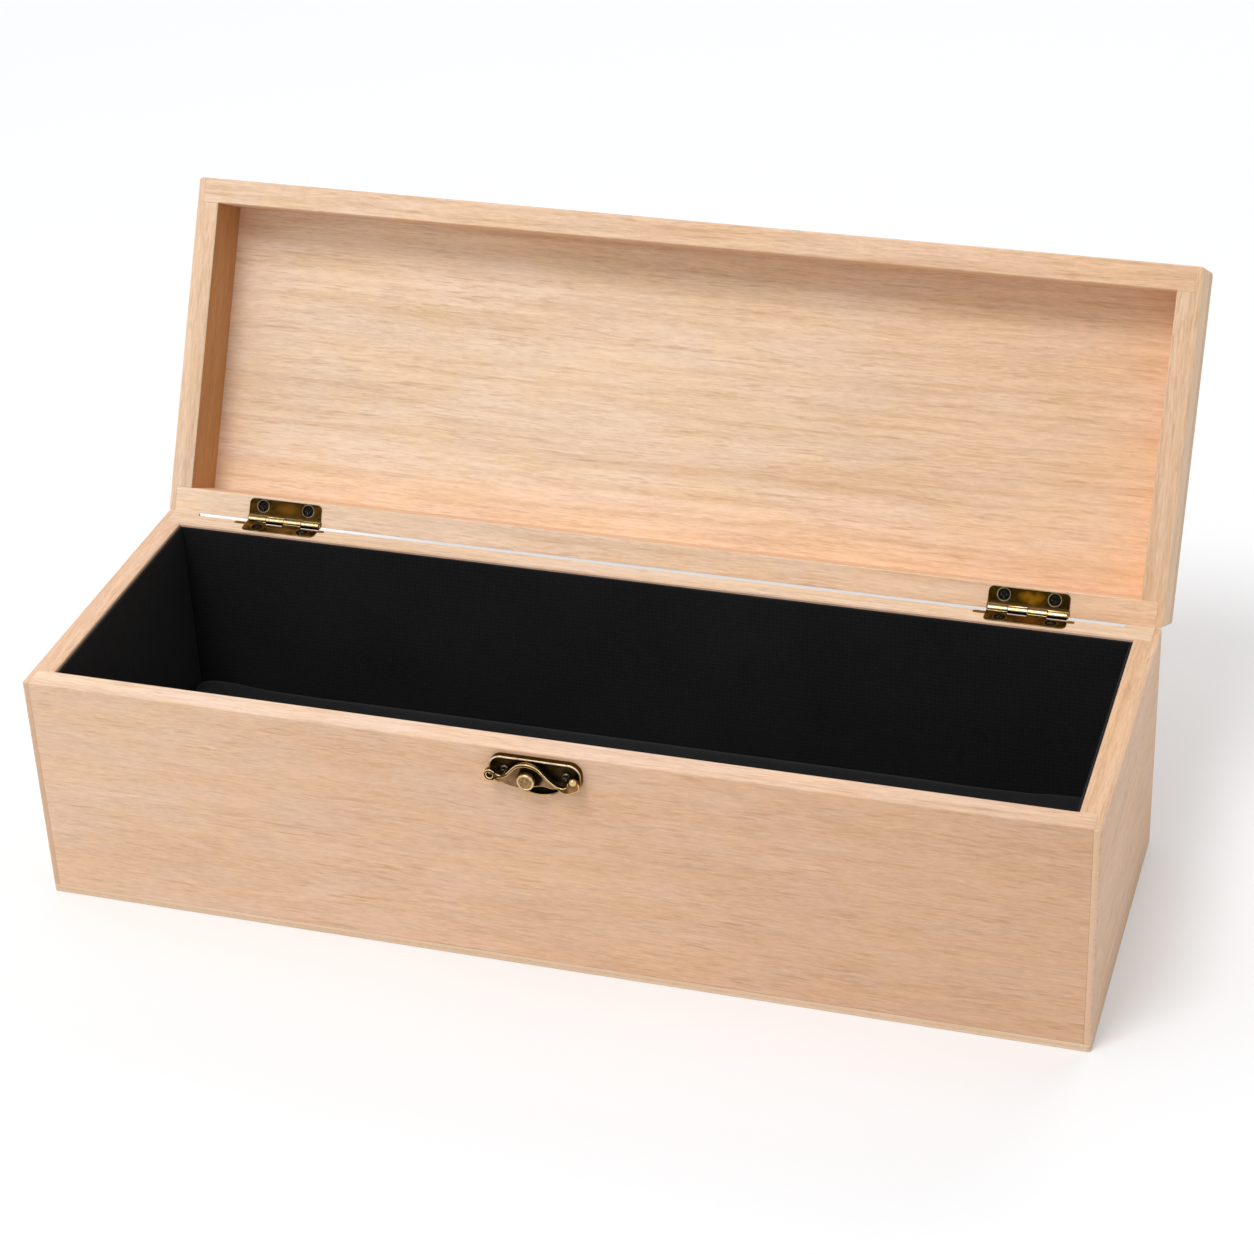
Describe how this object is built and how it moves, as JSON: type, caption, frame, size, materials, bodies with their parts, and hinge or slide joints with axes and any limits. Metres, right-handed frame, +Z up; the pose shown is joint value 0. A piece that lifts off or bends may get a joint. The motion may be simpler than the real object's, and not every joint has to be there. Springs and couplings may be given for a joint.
{
  "type": "hinged wooden bottle box",
  "caption": "Long wooden box for one bottle, with a hinged lid standing open, let-in brass hinges, a hook latch on the front and a dark lined inside.",
  "frame": {"origin": "centre of the base's underside, on the surface the box stands on", "axes": "+X along the box's length to the right as seen from the latch side, -Y the front with the latch, +Y the hinge side, +Z up"},
  "size_m": [0.35, 0.2027, 0.186],
  "materials": {
    "wood": "bare fine-sanded",
    "plywood": "bare plywood",
    "lining_cloth": "matt black cloth",
    "hinge_brass": "aged brass",
    "latch_brass": "antique brass",
    "screw_steel": "dulled steel"
  },
  "bodies": {
    "base": {"base_front_board": "wood", "base_back_board": "wood", "base_left_end": "wood", "base_right_end": "wood", "base_bottom_panel": "plywood", "lining_front": "lining_cloth", "lining_back": "lining_cloth", "lining_left": "lining_cloth", "lining_right": "lining_cloth", "floor_pad": "lining_cloth", "hinge_left_base_leaf": "hinge_brass", "hinge_left_pin": "hinge_brass", "hinge_left_base_screws": "screw_steel", "hinge_right_base_leaf": "hinge_brass", "hinge_right_pin": "hinge_brass", "hinge_right_base_screws": "screw_steel", "latch_plate": "latch_brass", "latch_rivet": "latch_brass", "latch_screws": "screw_steel"},
    "lid": {"lid_front_rail": "wood", "lid_back_rail": "wood", "lid_left_rail": "wood", "lid_right_rail": "wood", "lid_top_board": "wood", "hinge_left_lid_leaf": "hinge_brass", "hinge_left_lid_screws": "screw_steel", "hinge_right_lid_leaf": "hinge_brass", "hinge_right_lid_screws": "screw_steel"},
    "latch_arm": {"latch_arm": "latch_brass"}
  },
  "joints": [
    {"name": "lid_hinge", "type": "hinge", "parent": "base", "child": "lid", "pos_m": [0, 0.05833, 0.0833], "axis": [1, 0, 0], "range_deg": [0, 118]},
    {"name": "latch_swing", "type": "hinge", "parent": "base", "child": "latch_arm", "pos_m": [-0.0022, -0.0585, 0.0749], "axis": [0, -1, 0], "range_deg": [-90, 90]}
  ]
}
